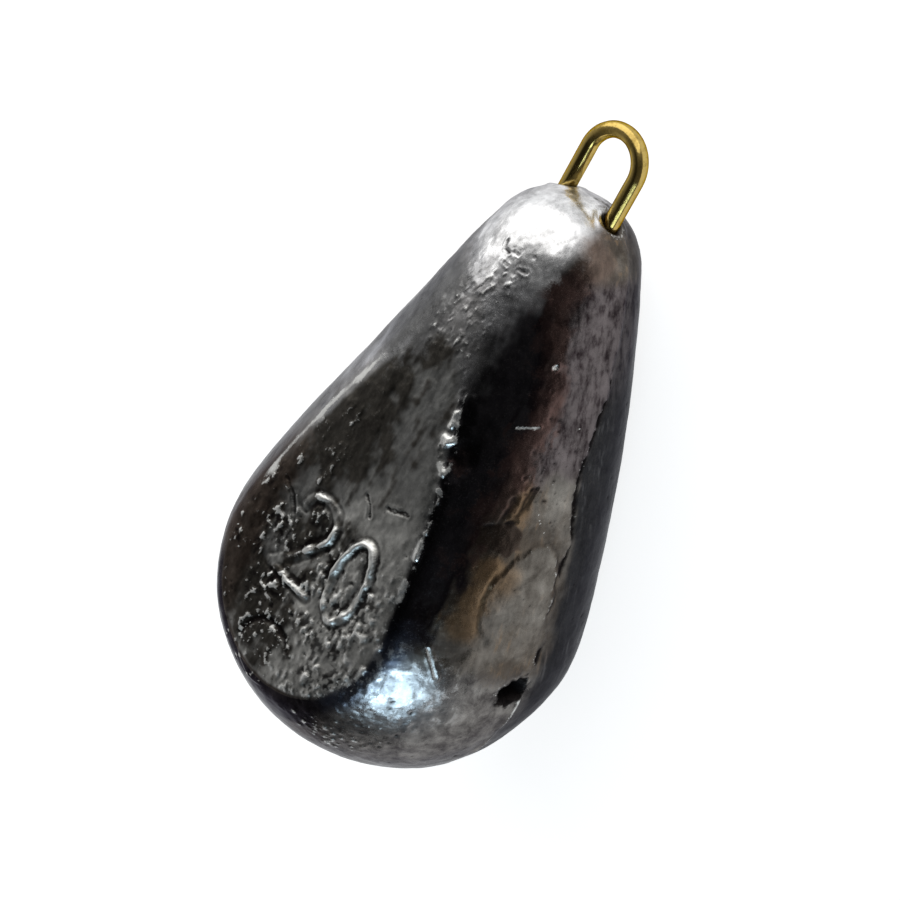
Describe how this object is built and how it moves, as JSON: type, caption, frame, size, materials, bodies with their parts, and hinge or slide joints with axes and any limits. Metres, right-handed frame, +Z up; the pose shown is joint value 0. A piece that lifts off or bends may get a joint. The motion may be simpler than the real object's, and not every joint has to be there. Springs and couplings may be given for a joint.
{
  "type": "fishing sinker",
  "caption": "Eggplant-shaped cast lead fishing sinker with flattened front and rear faces and a brass wire eye for tying a line.",
  "frame": {"origin": "on the surface that the sinker lies on, under the middle of its overall box, with the mould's parting axis over Y = 0", "axes": "+Z up, square to the rear flat that the sinker lies on; +X from the bulb towards the wire eye; +Y across the sinker"},
  "size_m": [0.0406, 0.0212, 0.018],
  "materials": {
    "tarnished_lead": "as cast, tarnished, half glossy",
    "brass_wire": "drawn wire, polished"
  },
  "bodies": {
    "root": {"lead_body": "tarnished_lead", "wire_eye": "brass_wire"}
  },
  "joints": []
}
